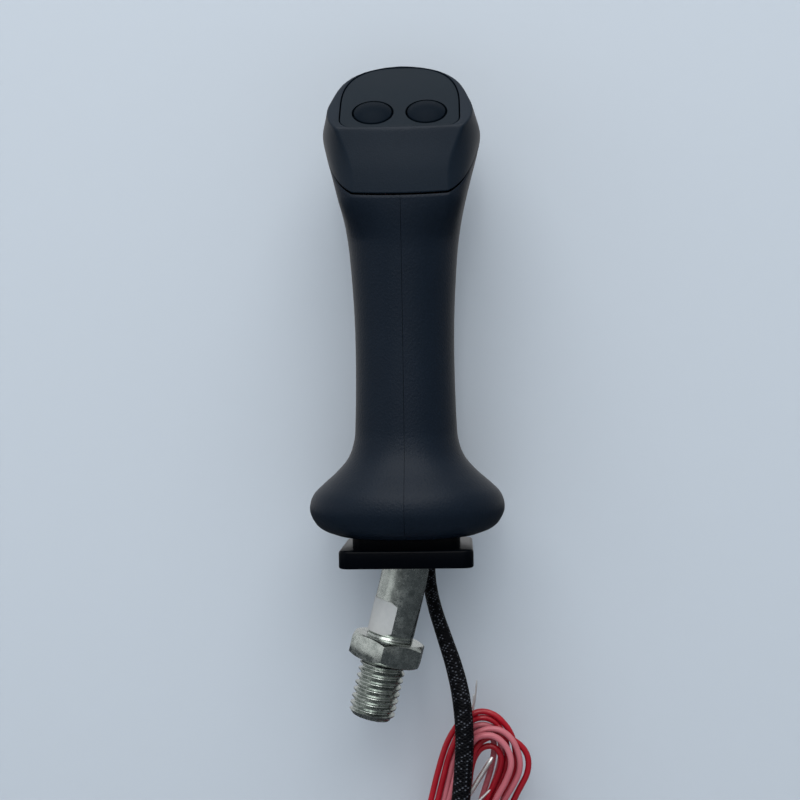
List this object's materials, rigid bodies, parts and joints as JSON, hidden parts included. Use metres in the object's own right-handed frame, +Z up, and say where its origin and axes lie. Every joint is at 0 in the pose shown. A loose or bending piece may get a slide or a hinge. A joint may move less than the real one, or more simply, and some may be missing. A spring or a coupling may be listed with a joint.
{
  "type": "industrial joystick grip",
  "caption": "Upright joystick grip with flared hand guard, sloped panel with push buttons, bent threaded stud with lock nut, and a sleeved lead with loose wires.",
  "frame": {"origin": "on the stud's thread axis, at the lock nut's outer face", "axes": "+Z up along the grip, -Y towards the side with the buttons, +X to the user's right as the buttons are faced"},
  "size_m": [0.0757, 0.062, 0.3057],
  "materials": {
    "grip_grain": "fine leather grain",
    "cover_plastic": "satin moulded",
    "panel_plastic": "fine spark-eroded grain",
    "button_plastic": "smooth",
    "plate_plastic": "smooth",
    "black_rubber": "dull",
    "zinc_steel": "zinc plated",
    "zinc_screws": "zinc plated",
    "cast_socket": "cast",
    "bracket_steel": "stamped",
    "switch_case": "moulded",
    "plunger_nylon": "moulded",
    "terminal_brass": "bright",
    "label_paper": "plain",
    "braid": "braided",
    "heat_shrink": "smooth",
    "wire_red": "extruded",
    "wire_pink": "extruded",
    "tinned_copper": "tinned"
  },
  "bodies": {
    "grip": {"base_plate": "plate_plastic", "cable_grommet": "black_rubber", "core_socket": "cast_socket", "cross_pin": "zinc_screws", "grip_shell_left": "grip_grain", "grip_shell_right": "grip_grain", "shell_screws": "zinc_screws", "plate_screws": "zinc_screws", "head_cover": "cover_plastic", "switch_panel": "panel_plastic", "spring_left": "zinc_screws", "spring_right": "zinc_screws", "switch_left": "switch_case", "switch_right": "switch_case", "switch_terminals": "terminal_brass", "switch_bracket": "bracket_steel", "bracket_screws": "zinc_screws", "red_leads": "wire_red", "pink_leads": "wire_pink", "stud": "zinc_steel", "stud_label": "label_paper", "cable_sleeve": "braid", "sleeve_band": "heat_shrink", "wire_red_1": "wire_red", "wire_red_2": "wire_red", "wire_pink_1": "wire_pink", "wire_pink_2": "wire_pink", "wire_hank": "wire_red", "wire_tips": "tinned_copper", "hank_tie": "heat_shrink"},
    "left_button": {"button_left": "button_plastic", "plunger_left": "plunger_nylon"},
    "right_button": {"button_right": "button_plastic", "plunger_right": "plunger_nylon"},
    "nut": {"lock_nut": "zinc_steel"}
  },
  "joints": [
    {"name": "left_button_press", "type": "slide", "parent": "grip", "child": "left_button", "axis": [0, 0.7071, -0.7071], "range_m": [0, 0.0016], "stiffness_N_per_m": 900, "springref_m": -0.0016, "deforming": ["spring_left"]},
    {"name": "right_button_press", "type": "slide", "parent": "grip", "child": "right_button", "axis": [0, 0.7071, -0.7071], "range_m": [0, 0.0016], "stiffness_N_per_m": 900, "springref_m": -0.0016, "deforming": ["spring_right"]},
    {"name": "lock_nut_turn", "type": "hinge", "parent": "grip", "child": "nut", "pos_m": [0, 0, 0], "axis": [-0.2504, 0, -0.9681], "continuous": true}
  ]
}
